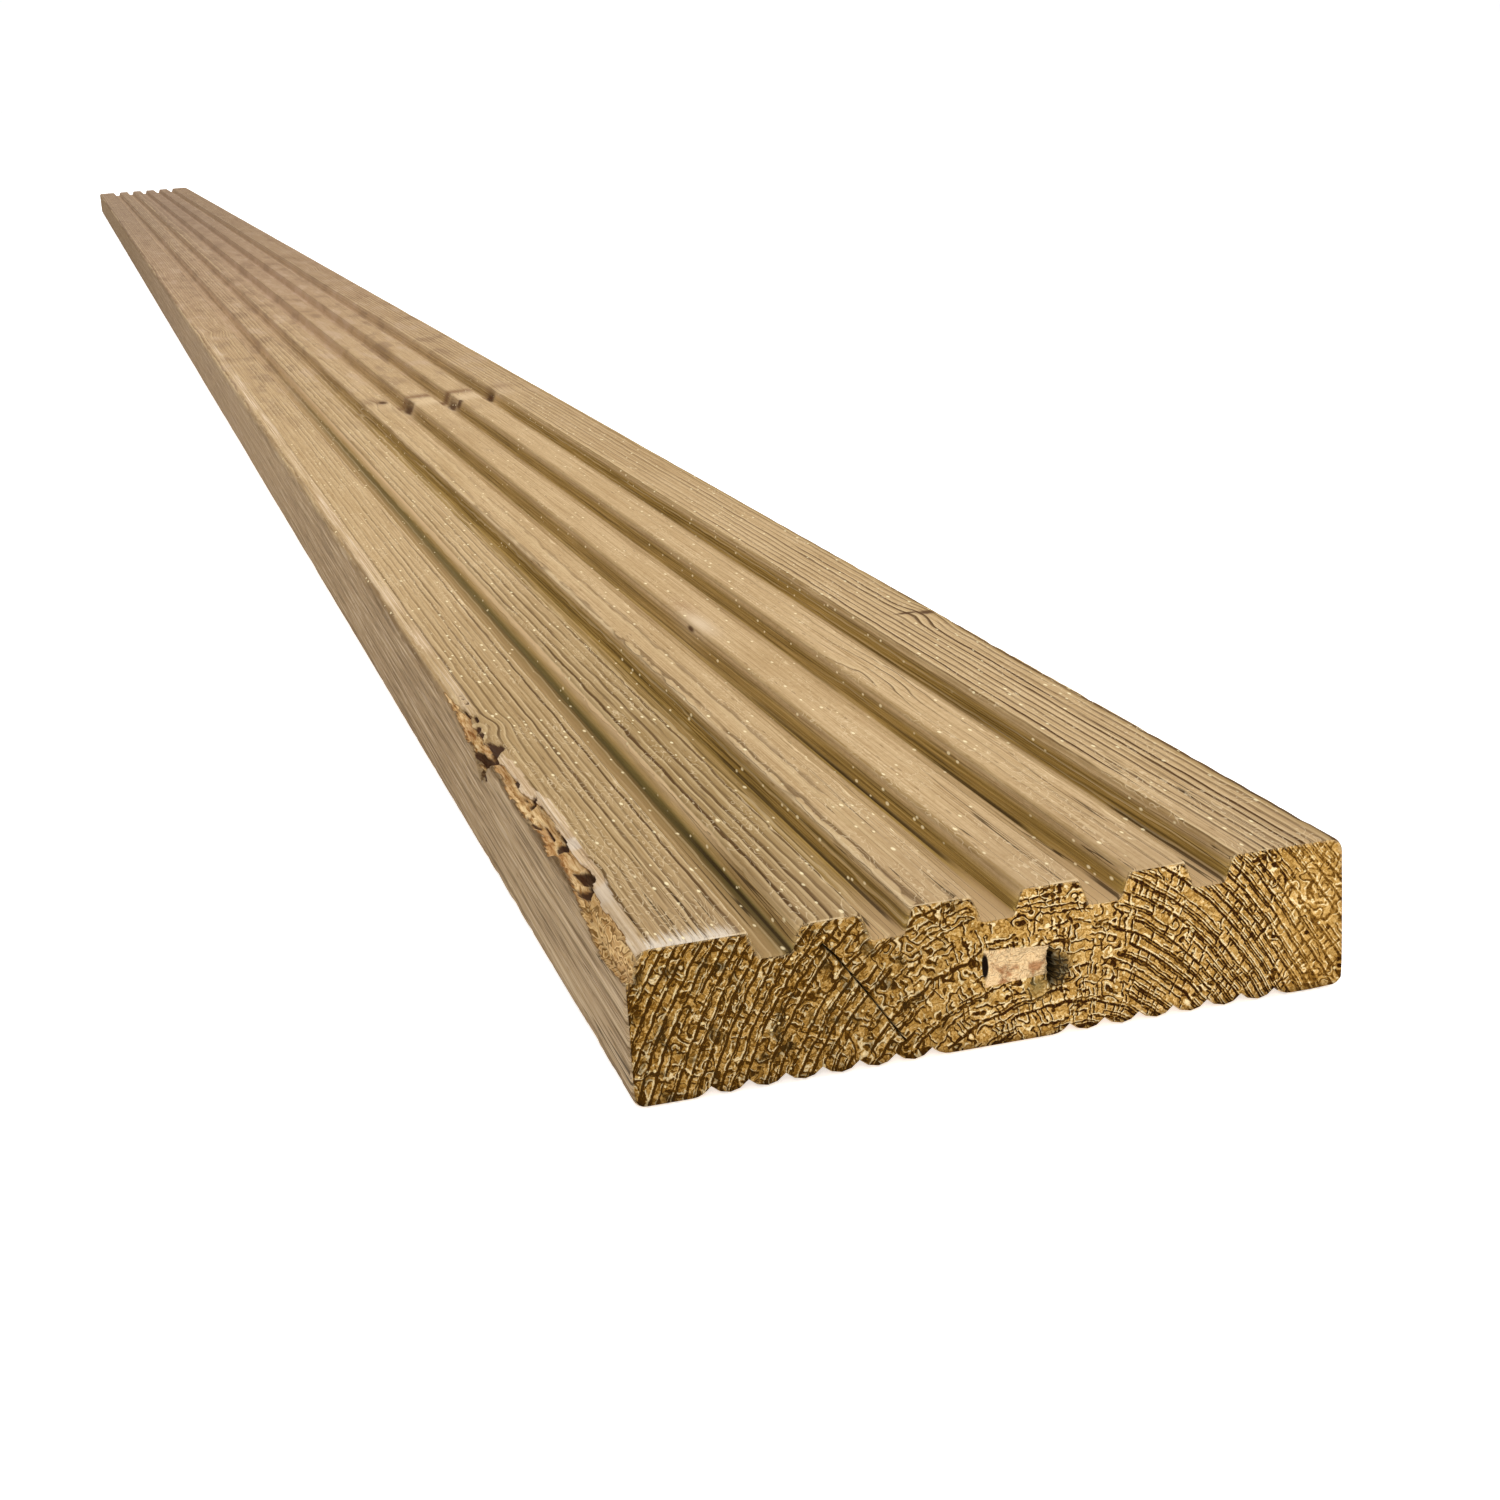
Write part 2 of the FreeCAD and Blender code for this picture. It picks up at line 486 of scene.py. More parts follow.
def end_faces(outline, inner, outline_start, inner_start):
    """Triangles over an end. The starts are the numbers of its first points among all the board's points."""
    count = len(outline)
    numbers = [*range(outline_start, outline_start + count), *range(inner_start, inner_start + len(inner))]
    edges = [(i, (i + 1) % count) for i in range(count)]
    points = [Vector(point) for point in np.concatenate([outline, inner])]
    result = delaunay_2d_cdt(points, edges, [], 1, 1e-6)
    places, faces, origin = result[0], result[2], result[3]
    assert all(origin) and len(places) == len(points)
    return [[numbers[origin[v][0]] for v in face] for face in faces]


def end_hollow(points):
    reach = np.linalg.norm((points - np.array(END_HOLLOW)) / np.array(END_HOLLOW_HALF), axis=1)
    return smooth_step(1.15 - reach, 0.0, 0.55)


def end_knot(points):
    reach = np.max(np.abs(points - np.array(END_KNOT)) / np.array(END_KNOT_HALF), axis=1)
    return smooth_step(1.12 - reach, 0.0, 0.2)


def near_end_relief(points):
    """How far each inner point of the near end is sunk, and how strongly painted shade darkens it in the
    check and hollow.
    """
    x, z = points.T
    rough = END_GRIT_DEPTH * lattice_noise(x / 1.3, z / 1.3, 31)
    rough = rough + SAW_MARK_DEPTH * lattice_noise(x / 6.0, z / 0.9, 32)
    check = smooth_step(CHECK_HALF_WIDTH - check_distance(points), 0.0, CHECK_HALF_WIDTH)
    hollow = end_hollow(points) * (1 - 0.3 * end_knot(points))
    sunk = NEAR_END_SUNK + rough - END_KNOT_RISE * end_knot(points)
    sunk = sunk + CHECK_DEPTH * check + END_HOLLOW_DEPTH * hollow
    return np.maximum(sunk, 0.02), np.maximum(check, hollow)


def build_board():
    """One closed mesh: rows of the section along the board, and a net of triangles over each end."""
    outline, edges = refine_torn_edge(*section_outline())
    normals = outward_normals(outline)
    places = row_places()
    round_edge = place_round_edge(outline)
    cut, torn, pit, ribbon = tear_relief(places, round_edge)
    sunk = wear_relief(places, outline, edges) + dent_relief(places, outline) + end_relief(places)
    rows, count = sunk.shape
    # The tear goes straight into the corner, so that its walls never fold over
    x = outline[None, :, 0] - normals[None, :, 0] * sunk + cut * math.sqrt(0.5)
    z = outline[None, :, 1] - normals[None, :, 1] * sunk - cut * math.sqrt(0.5)
    y = NEAR_END + np.repeat(places[:, None], count, axis=1)
    skin = np.stack([x, y, z], axis=-1).reshape(-1, 3)

    first_row = np.stack([x[0], z[0]], axis=-1)
    last_row = np.stack([x[-1], z[-1]], axis=-1)
    near_inner = near_end_points(first_row)
    near_sunk, near_pit = near_end_relief(near_inner)
    near_points = np.insert(near_inner, 1, NEAR_END + near_sunk, axis=1)
    far_inner = end_points(last_row, FAR_END_GRID, 42)
    far_points = np.insert(far_inner, 1, NEAR_END + LENGTH - FAR_END_SUNK, axis=1)

    near_start = len(skin)
    far_start = near_start + len(near_points)
    faces = skin_faces(rows, count)
    long_faces = len(faces)
    faces += end_faces(first_row, near_inner, 0, near_start)
    faces += [face[::-1] for face in end_faces(last_row, far_inner, near_start - count, far_start)]

    mesh = bpy.data.meshes.new("board")
    points = np.concatenate([skin, near_points, far_points]) * MM
    mesh.from_pydata(points.tolist(), [], faces)
    material_index = np.zeros(len(faces), np.int32)
    material_index[long_faces:] = 1
    mesh.polygons.foreach_set("material_index", material_index)
    mesh.polygons.foreach_set("use_smooth", np.ones(len(faces), bool))
    on_skin = slice(0, near_start)
    add_mask(mesh, "torn", on_skin, torn.ravel())
    add_mask(mesh, "pit", on_skin, pit.ravel())
    add_mask(mesh, "ribbon", on_skin, ribbon.ravel())
    add_mask(mesh, "rim", on_skin, 1.0)
    add_mask(mesh, "hollow", slice(near_start, far_start), near_pit)
    mesh.update()
    board = bpy.data.objects.new("board", mesh)
    bpy.context.scene.collection.objects.link(board)
    return board


def add_mask(mesh, name, where, values):
    """A number for each point of the mesh, which is 0 outside a slice of the points."""
    numbers = np.zeros(len(mesh.vertices), np.float32)
    numbers[where] = values
    mesh.attributes.new(name, "FLOAT", "POINT").data.foreach_set("value", numbers)


def srgb(red, green, blue):
    """A screen colour, 0 to 255, in the renderer's linear values."""
    linear = []
    for value in (red, green, blue):
        share = value / 255
        linear.append(share / 12.92 if share <= 0.04045 else ((share + 0.055) / 1.055) ** 2.4)
    return (*linear, 1.0)


def math_method(operation):
    """A method that adds one math node for a field, with another field or number where it takes one."""

    def method(self, other=0.0):
        return self.nodes.math(operation, self, other)

    return method


class Field:
    """A number that varies over a surface. Arithmetic on fields adds math nodes to the material."""

    __add__ = __radd__ = math_method("ADD")
    __mul__ = __rmul__ = math_method("MULTIPLY")
    __sub__ = math_method("SUBTRACT")
    __truediv__ = math_method("DIVIDE")
    __abs__ = math_method("ABSOLUTE")
    floor = math_method("FLOOR")
    fract = math_method("FRACT")
    root = math_method("SQRT")

    def __init__(self, nodes, socket):
        self.nodes = nodes
        self.socket = socket

    def __rsub__(self, other):
        return self.nodes.math("SUBTRACT", other, self)

    def step(self, low, high):
        """0 at low, 1 at high and smooth between, whichever of the two is larger."""
        node = self.nodes.new("ShaderNodeMapRange")
        node.interpolation_type = "SMOOTHSTEP"
        self.nodes.plug(node.inputs["Value"], self)
        node.inputs["From Min"].default_value = min(low, high)
        node.inputs["From Max"].default_value = max(low, high)
        node.inputs["To Min"].default_value = 0.0 if low < high else 1.0
        node.inputs["To Max"].default_value = 1.0 if low < high else 0.0
        return Field(self.nodes, node.outputs["Result"])


class Nodes:
    """A material, with short ways to add its nodes."""

    def __init__(self, name):
        self.material = bpy.data.materials.new(name)
        self.material.use_nodes = True
        self.tree = self.material.node_tree
        self.shader = self.tree.nodes["Principled BSDF"]
        self.colour = None

    def new(self, kind, **values):
        """A node of a kind, with fields, sockets or numbers for the inputs named."""
        node = self.tree.nodes.new(kind)
        for name, value in values.items():
            self.plug(node.inputs[name], value)
        return node

    def plug(self, socket, value):
        if isinstance(value, Field):
            value = value.socket
        if isinstance(value, bpy.types.NodeSocket):
            self.tree.links.new(value, socket)
        else:
            socket.default_value = value

    def math(self, operation, a, b=0.0):
        node = self.new("ShaderNodeMath")
        node.operation = operation
        self.plug(node.inputs[0], a)
        self.plug(node.inputs[1], b)
        return Field(self, node.outputs[0])

    def larger(self, a, b):
        return self.math("MAXIMUM", a, b)

    def place(self, x, y, z):
        return self.new("ShaderNodeCombineXYZ", X=x, Y=y, Z=z).outputs[0]

    def noise(self, x, y, z, detail=2.0, roughness=0.5):
        where = self.place(x, y, z)
        node = self.new("ShaderNodeTexNoise", Vector=where, Scale=1.0, Detail=detail, Roughness=roughness)
        return Field(self, node.outputs["Fac"])

    def spots(self, x, y, z):
        """Distance to the nearest of many scattered points, and a chance number of that point."""
        node = self.new("ShaderNodeTexVoronoi", Vector=self.place(x, y, z), Scale=1.0)
        split = self.new("ShaderNodeSeparateColor", Color=node.outputs["Color"])
        return Field(self, node.outputs["Distance"]), Field(self, split.outputs[0])

    def chance(self, number, other=0.0):
        """A chance number from 0 to 1 for each pair of whole numbers."""
        node = self.new("ShaderNodeTexWhiteNoise", Vector=self.place(number, other, 0.0))
        node.noise_dimensions = "2D"
        return Field(self, node.outputs["Value"])

    def lines(self, across, along, share, half_width):
        """Lines between the whole numbers of across, each cut into cells along it, with a share of the cells
        filled:
        the dark line, and beside it a painted highlight, as where a raised edge catches the light."""
        there = (self.chance(across.floor(), along.floor()) + share).step(0.98, 1.0)
        within = across.fract()
        dark = abs(within - 0.4).step(1.35 * half_width, 0.65 * half_width) * there
        pale = abs(within - 0.4 - 2.1 * half_width).step(1.2 * half_width, 0.3 * half_width) * there
        return dark, pale

    def ramp(self, value, *stops):
        """Colours over a field: each stop is a value of the field and a screen colour."""
        node = self.new("ShaderNodeValToRGB", Fac=value)
        ramp = node.color_ramp
        while len(ramp.elements) < len(stops):
            ramp.elements.new(0.5)
        for element, (position, *colour) in zip(ramp.elements, stops):
            element.position = position
            element.color = srgb(*colour)
        return node.outputs[0]

    def mix(self, share, colour, other):
        """A colour with a share of another mixed in, which is a socket or a screen colour."""
        node = self.new("ShaderNodeMix")
        node.data_type = "RGBA"
        self.plug(node.inputs[0], share)
        self.plug(node.inputs[6], colour)
        self.plug(node.inputs[7], srgb(*other) if isinstance(other, tuple) else other)
        return node.outputs[2]

    def tint(self, share, colour):
        """Mix a share of another colour into the surface's colour so far."""
        self.colour = self.mix(share, self.colour, colour)

    def finish(self, roughness, specular):
        """Give the shader the surface's colour, and its gloss."""
        self.plug(self.shader.inputs["Base Color"], self.colour)
        self.shader.inputs["Roughness"].default_value = roughness
        self.shader.inputs["Specular IOR Level"].default_value = specular

    def spot(self, across, along, half_across, half_along):
        """1 at a place on a face, falling away round it as an oval."""
        off_a = across / half_across
        off_b = along / half_along
        return self.math("EXPONENT", (off_a * off_a + off_b * off_b) * -1.0)

    def mask(self, name):
        node = self.new("ShaderNodeAttribute")
        node.attribute_name = name
        return Field(self, node.outputs["Fac"])

    def position(self):
        """Place in the board in millimetres: across, from the near end, and up."""
        node = self.new("ShaderNodeTexCoord")
        split = self.new("ShaderNodeSeparateXYZ", Vector=node.outputs["Object"])
        x, y, z = (Field(self, socket) for socket in split.outputs)
        return x * (1 / MM), y * (1 / MM) - NEAR_END, z * (1 / MM)

    def bump(self, height):
        """Relief from a height in millimetres."""
        node = self.new("ShaderNodeBump", Distance=1.0, Height=height * MM)
        self.plug(self.shader.inputs["Normal"], node.outputs["Normal"])


# Distances from the near end at which a look is gone, and at which it is full
FINE_DETAIL_FADE = (1500.0, 500.0)
GROOVE_TINT_FADE = (1400.0, 500.0)
FIRST_GROOVE_FADE = (1200.0, 500.0)
FLECK_FADE = (1100.0, 700.0)
CRACK_FADE = (130.0, 20.0)

# The long knot across the middle of the walking face: across, from the near end, and its slant
LONG_KNOT = (20.0, 797.0)
LONG_KNOT_SLANT = 0.22

# Knots that bend the grain: across, from the near end, half width, half length, bend of the rings
KNOTS = (
    (*LONG_KNOT, 30.0, 14.0, 2.2),
    (11.6, 607.0, 5.0, 24.0, 1.6),
    (9.0, 243.0, 5.0, 16.0, 1.6),
    (31.0, 165.0, 7.0, 24.0, -2.2),
    (66.0, 222.0, 5.0, 12.0, -2.6),
    (-66.0, 165.0, 6.0, 8.0, 1.8),
    (-66.0, 46.0, 4.0, 8.0, 1.2),
    (-58.0, 1250.0, 8.0, 24.0, 3.0),
    (58.0, 1720.0, 8.0, 30.0, 3.0),
    (-34.0, 2350.0, 7.0, 30.0, 3.0),
)

# Dark spots of the face knots: across, from the near end, half width, half length
DARK_SPOTS = (
    (3.4, 791.0, 2.8, 13.0),
    (25.0, 790.0, 2.6, 13.0),
    (26.6, 776.0, 1.8, 8.0),
    (46.8, 806.0, 2.0, 10.0),
    (-8.5, 797.0, 2.8, 7.0),
    (4.6, 244.0, 0.35, 4.0),
    (67.5, 224.0, 3.2, 3.0),
    (62.5, 226.0, 4.0, 1.6),
)

# Swirl on the third ridge, a brown and a pale spot: across, from the near end, half width, half length
SWIRL_BROWN = (8.5, 268.0, 3.4, 13.0)
SWIRL_PALE = (7.6, 245.0, 2.8, 15.0)


def face_spot(n, x, s, place):
    """1 at a place on the walking face, falling away round it as an oval."""
    across, along, half_width, half_length = place
    return n.spot(x - across, s - along, half_width, half_length)


def near_top(z, low, high):
    """0 at one depth below the walking face, 1 at another and smooth between."""
    return z.step(THICKNESS - low, THICKNESS - high)


def side_mask(x):
    """1 on the narrow sides of the board."""
    return abs(x).step(WIDTH / 2 - 1.4, WIDTH / 2 - 0.3)


def knot_bends(n, x, s):
    """How far the knots push the rings aside, and how near the next knot is."""
    bends = x * 0.0
    nearness = x * 0.0
    for *place, bend in KNOTS:
        spot = face_spot(n, x, s, place)
        bends = bends + spot * bend
        nearness = nearness + spot
    return bends, nearness


def ring_radius(n, x, s, z, waver):
    """Distance from the pith, bent by slow wander and by fine waver. The rings are closer together towards
    both edges of the board."""
    drift = n.noise(0.7, s / 900, 0.2, 1.0) - 0.5
    from_pith_x = x - PITH_X - drift * 6.0
    from_pith_z = z - PITH_Z
    radius = (from_pith_x * from_pith_x + from_pith_z * from_pith_z).root()
    radius = radius + x.step(16.0, 80.0) * 20.0 + x.step(-16.0, -80.0) * 14.0
    radius = radius + (n.noise(x / 40, s / 520, z / 40) - 0.5) * 2.6
    radius = radius + (n.noise(x / 7, s / 130, z / 7) - 0.5) * 1.0
    return radius + (n.noise(x / 2.5, s / 16, z / 2.5, 1.0) - 0.5) * waver


def late_wood(n, x, s, radius, knot):
    """Thin dark line at the outside of each growth ring, stronger in some rings than in others, and the
    pale early wood that follows it."""
    phase = radius / RING_SPACING
    within = phase.fract()
    # Rings that are cut flat would give broad lines, so they are drawn thinner there
    steepness = abs(x - PITH_X).step(4.0, 55.0) * 0.7 + 0.3
    right_land = x.step(40.0, 52.0)
    before_next = (1.0 - within) / (steepness + right_land * 0.2)
    line = before_next.step(0.42, 0.18) * before_next.step(0.0, 0.06)
    early = within.step(0.0, 0.06) * within.step(0.34, 0.12)
    strength = n.chance(phase.floor()) * 0.65 + 0.35 + right_land * 0.15
    broken = n.noise(x * 0.3, s * 0.012, radius * 0.4, 2.0).step(0.30, 0.48)
    flat_sawn = abs(x - PITH_X).step(2.0, 50.0) * 0.9 + 0.1 + knot * 0.6
    share = strength * broken * flat_sawn.step(0.0, 1.0)
    return line * share, early * share


def specks(n, x, s, z):
    """Small pale flecks on the near half of the walking face."""
    distance, number = n.spots(x / 2.2, s / 6.5, z / 2.2)
    often = n.noise(x / 14, s / 70, 0.3) * 1.6 + s.step(1000.0, 60.0) * 0.16
    often = often + abs(x - 5.0).step(22.0, 44.0) * 0.2
    size = (number * 7.0).fract() * 0.5 + 0.6
    fleck = (distance / size).step(0.21, 0.10) * (number + often).step(1.52, 1.55)
    return fleck * z.step(GROOVE_FLOOR - 0.7, GROOVE_FLOOR - 0.2) * s.step(*FLECK_FADE)


def pores(n, x, s, z):
    """Short fine dark dashes along the grain."""
    distance, number = n.spots(x / 1.3, s / 11.0, z / 1.3)
    return distance.step(0.22, 0.10) * number.step(0.66, 0.70)


def scratches(n, x, s, z):
    """Curled scratches and lifted fibres on the near part of the left land and ridge."""
    curl = n.noise(x * 0.32, s * 0.08, z * 0.3, 2.0) * 9.0
    where = n.noise(x * 0.2, s * 0.04, 0.6) + s.step(320.0, 20.0) * 0.10 + x.step(-20.0, -46.0) * 0.06
    line = abs(curl.fract() - 0.5).step(0.10, 0.03)
    return line * where.step(0.56, 0.64) * near_top(z, 1.0, 0.4)


def groove_mask(x, z):
    """1 on the walls and floors of the grooves."""
    below_lip = near_top(z, 0.55, 1.0)
    above_floor = z.step(GROOVE_FLOOR - 1.2, GROOVE_FLOOR - 0.5)
    return below_lip * above_floor * abs(x).step(56.0, 53.0)


def from_groove_middle(x):
    """Distance across from the middle of the nearest groove."""
    return ((x / GROOVE_PITCH + 0.5).fract() - 0.5) * GROOVE_PITCH


def planed_wood():
    """Long faces: pale early wood, thin dark late wood lines, treatment tint, wear and specks, with painted
    shade, painted light and painted highlights in the grooves, on their lips and along the torn upper left
    edge.
    """
    n = Nodes("planed_wood")
    x, s, z = n.position()
    side = side_mask(x)
    bends, knot = knot_bends(n, x, s)
    radius = ring_radius(n, x, s, z, 0.9 - side * 0.6) + bends
    line, early = late_wood(n, x, s, radius, knot)
    line = line * (1.0 - groove_mask(x, z) * 0.75) * (1.0 - side * 0.5)
    line = line * (1.0 - s.step(100.0, 550.0) * 0.6)
    early = early * (1.0 - side * 0.8)
    streak = n.noise(x * 2.0, s * 0.012, z * 2.0, 5.0, 0.68)
    fibre = n.noise(x * 1.3, s * 0.05, z * 1.3, 4.0, 0.65)
    mottle = n.noise(x * 0.9, s * 0.35, z * 0.9, 3.0, 0.6)

    n.colour = n.ramp(streak, (0.28, 158, 125, 81), (0.50, 196, 165, 121), (0.74, 217, 188, 146))
    add_tone(n, x, s, z)
    n.tint(mottle.step(0.45, 0.75) * 0.35, (158, 126, 80))
    hairs = n.noise(x * 4.0, s * 0.05, z * 4.0, 3.0, 0.7)
    fine = s.step(*FINE_DETAIL_FADE)
    n.tint(hairs.step(0.54, 0.72) * fine * 0.4, (142, 110, 66))
    n.tint(hairs.step(0.46, 0.28) * fine * (0.35 - side * 0.2), (228, 202, 158))
    add_side_grain(n, s, z, side)
    n.tint(pores(n, x, s, z) * fine * 0.45, (104, 76, 38))
    add_groove_tint(n, x, s, z, streak)
    n.tint(early * 0.5, (222, 196, 150))
    n.tint(line * 0.95, (84, 56, 22))
    add_checks(n, x, s, z)
    add_face_knots(n, x, s, streak)
    add_lip_highlights(n, x, s, z)
    scratch = scratches(n, x, s, z)
    n.tint(scratch * 0.5, (228, 204, 164))
    add_fuzz(n, x, s, z, streak)
    fleck = specks(n, x, s, z) * (1.0 - side)
    n.tint(fleck * 0.85, (250, 232, 186))
    add_torn_edge(n, x, s, z, streak, fibre)
    n.finish(roughness=0.8, specular=0.05)
    n.bump(streak * 0.14 - line * 0.30 - mottle * 0.10)
    return n.material


def add_tone(n, x, s, z):
    """Slow changes of colour: duller towards the left, greyer by the near end, pinker and blotched far away,
    and a greyer side."""
    patch = n.noise(x / 20, s / 150, z / 20, 3.0)
    n.tint(patch.step(0.45, 0.75) * 0.4, (170, 136, 88))
    dull = x.step(-18.0, -27.0) * 0.7 - x.step(-42.0, -50.0) * 0.28 + x.step(0.0, -8.0) * 0.12
    n.tint(dull * (s.step(420.0, 100.0) * 0.85 + 0.15), (147, 119, 72))
    n.tint(s.step(70.0, 0.0) * 0.35, (170, 141, 106))
    n.tint(s.step(500.0, 1800.0) * 0.75, (158, 127, 101))
    blotch = n.noise(x / 16, s / 70, z / 16, 3.0, 0.6)
    far = s.step(500.0, 1100.0)
    n.tint(blotch.step(0.5, 0.66) * far * 0.6, (134, 104, 78))
    n.tint(blotch.step(0.48, 0.34) * far * 0.45, (196, 168, 142))
    n.tint(s.step(1200.0, 3200.0) * 0.65, (128, 106, 88))
    n.tint(x.step(46.0, 56.0) * s.step(250.0, 600.0) * 0.2, (136, 104, 68))
    side = side_mask(x)
    n.tint(side * 0.6, (150, 130, 104))
    darker = s.step(30.0, 260.0) * 0.5 + s.step(1100.0, 2600.0) * 0.4
    n.tint(side * darker, (112, 86, 53))
    edge = abs(x).step(WIDTH / 2 - 3.0, WIDTH / 2 - 1.0) * near_top(z, 4.0, 1.5)
    n.tint(edge * 0.18, (126, 98, 62))


def add_side_grain(n, s, z, side):
    """Fine dark and pale streaks along the narrow sides, which slowly climb towards the far end."""
    climb = z - s * 0.02
    grain = n.noise(climb * 1.1, s * 0.022, 0.5, 3.0, 0.62)
    near = side * (s.step(900.0, 250.0) * 0.6 + 0.4)
    n.tint(grain.step(0.52, 0.62) * near * 0.6, (88, 67, 42))
    n.tint(grain.step(0.46, 0.36) * near * 0.4, (206, 184, 152))


def add_lip_highlights(n, x, s, z):
    """Painted highlights along the lips of the grooves, where a rounded lip catches the light, except on the
    first ridge's left and on the right lips that carry the painted dark band."""
    lip = near_top(z, 0.14, 0.30) * near_top(z, 1.0, 0.6)
    lip = lip * abs(x).step(60.0, 55.0) * (1.0 - right_lip_mask(x) * 0.85)
    first_ridge = x.step(-40.5, -39.5) * x.step(-36.0, -37.0)
    # Where the painted highlight lies: broken up by noise, strongest by the near end
    painted_edge_highlight = n.noise(x / 6, s / 35, 0.8, 2.0).step(0.32, 0.55) * (s.step(1100.0, 300.0) * 0.5 + 0.25)
    n.tint(lip * painted_edge_highlight * (1.0 - first_ridge), (230, 203, 158))


def add_checks(n, x, s, z):
    """Fine dark drying cracks along the grain near the end."""
    field = n.noise(x * 0.5, s * 0.005, z * 0.5, 1.0)
    crack = abs(field - 0.5).step(0.012, 0.004) * s.step(*CRACK_FADE)
    n.tint(crack * 0.8, (52, 36, 14))


def add_fuzz(n, x, s, z, streak):
    """Pale broken fibres along the sawn edge of the left land."""
    reach = s - (streak - 0.5) * 30.0
    fuzz = reach.step(7.0, 1.0) * x.step(-49.0, -53.0) * near_top(z, 2.0, 1.0)
    n.tint(fuzz * 0.8, (226, 212, 192))


def add_face_knots(n, x, s, streak):
    """The long knot with the pale wood before it, the swirl on the third ridge, and the dark spots of these
    and of a small knot at the right edge."""
    across = x - LONG_KNOT[0]
    along = s - LONG_KNOT[1] - x * LONG_KNOT_SLANT
    n.tint(n.spot(across, along - 9.0, 32.0, 8.0) * 0.8, (118, 82, 50))
    n.tint(n.spot(across, along + 14.0, 26.0, 13.0) * 0.7, (220, 192, 152))
    n.tint(face_spot(n, x, s, SWIRL_BROWN) * 0.4, (160, 122, 84))
    n.tint(face_spot(n, x, s, SWIRL_PALE) * 0.55, (228, 206, 176))
    for place in DARK_SPOTS:
        spot = face_spot(n, x, s, place) + (streak - 0.5) * 0.8
        n.tint(spot.step(0.2, 0.95) * 0.9, (74, 42, 12))


def right_lip_mask(x):
    """1 on the right lips of the grooves from the middle one on, where a dark band of painted shade and
    olive tint is laid and no painted highlight.
    """
    return x.step(-14.0, -6.0) * from_groove_middle(x).step(2.0, 4.0)


def add_groove_tint(n, x, s, z, streak):
    """Walls and floors of the grooves hold more of the treatment, which makes them olive; that it is
    strongest low in the grooves is painted shade. On the floors' left the olive is weaker, and over the
    right lips from the middle groove on a dark band is painted, moving the grooves' dark bands of shade and
    tint to the right. Far away the grooves are painted paler against the shade of their walls. By the near
    end the floors are pale, with a painted shadow line along the foot of the right wall."""
    groove = groove_mask(x, z)
    off = from_groove_middle(x)
    first = x.step(-33.0, -35.0)
    near = s.step(*GROOVE_TINT_FADE) * 0.85 + 0.1
    olive = n.ramp(streak, (0.35, 90, 69, 22), (0.5, 145, 115, 53), (0.65, 180, 146, 80))
    # The olive grows towards the bottom of the grooves, as painted shade
    lower = near_top(z, 0.6, 2.8) * 0.85 + 0.15
    above_floor = z - GROOVE_FLOOR
    paler = abs(x - GROOVE_PITCH / 2).step(17.0, 12.0) * s.step(60.0, 250.0) * 0.14
    # On the floors' left the olive and its painted shade are weaker, and on the right lips a dark band is
    # painted: together they move the grooves' dark bands to the right
    floor_left_painted_paler = (off - x.step(0.0, 30.0) * 0.7).step(2.4, 1.6) * above_floor.step(1.5, 0.7)
    floor_left_painted_paler = floor_left_painted_paler * (x.step(-22.0, 0.0) * 0.5 + 0.3)
    n.tint(groove * (1.0 - first) * lower * (near - paler) * (1.0 - floor_left_painted_paler), olive)
    # Painted dark band of shade and olive tint over the right lips
    right_lip = right_lip_mask(x) * off.step(6.4, 5.2) * near_top(z, 1.0, 0.6)
    n.tint(right_lip * near * 0.55, (140, 110, 58))
    add_first_groove(n, off, s, above_floor, streak, groove * first)
    # Painted light: far away the groove walls are painted paler, against their shade
    n.tint(groove * s.step(700.0, 1500.0) * 0.18, (226, 196, 164))
    floor = groove * (1.0 - first * 0.9) * above_floor.step(1.1, 0.3) * s.step(42.0, 6.0)
    n.tint(floor * 0.85, (192, 160, 116))
    # Painted shadow line along the foot of each right wall by the near end
    root_shadow = abs(off - GROOVE_FLOOR_WIDTH / 2).step(0.36, 0.12) * above_floor.step(1.5, 0.9)
    root_shadow = root_shadow * n.noise(x / 30, s / 90, 0.1, 1.0).step(0.42, 0.5) * s.step(260.0, 60.0)
    root_shadow = root_shadow * (1.0 - first * s.step(50.0, 110.0))
    n.tint(groove * root_shadow * 0.8, (46, 30, 10))


def add_first_groove(n, off, s, above_floor, streak, groove):
    """The first groove is olive, with painted shade darkest along the foot of its right wall, weaker further
    from the end, and painted light that makes the wall grow paler towards the lip; by the near end the wall
    is olive all over."""
    climb = (off + above_floor + 1.0) / 10.0 + (streak - 0.5) * 0.22
    # From the floor up the right wall: olive tint with painted shade at the foot and painted light towards
    # the lip
    shade = n.ramp(
        climb,
        (0.10, 160, 131, 86),
        (0.22, 134, 109, 64),
        (0.35, 74, 62, 22),
        (0.49, 122, 106, 56),
        (0.66, 194, 163, 104),
        (0.94, 248, 216, 168),
    )
    foot = climb.step(0.18, 0.32) * climb.step(0.58, 0.42)
    shade = n.mix(foot * s.step(150.0, 500.0) * 0.5, shade, (142, 122, 74))
    n.tint(groove * (s.step(*FIRST_GROOVE_FADE) * 0.85 + 0.05), shade)
    wall = above_floor.step(0.6, 1.6) * s.step(80.0, 30.0)
    olive = n.ramp(streak, (0.35, 124, 98, 52), (0.65, 194, 160, 104))
    n.tint(groove * wall * 0.85, olive)


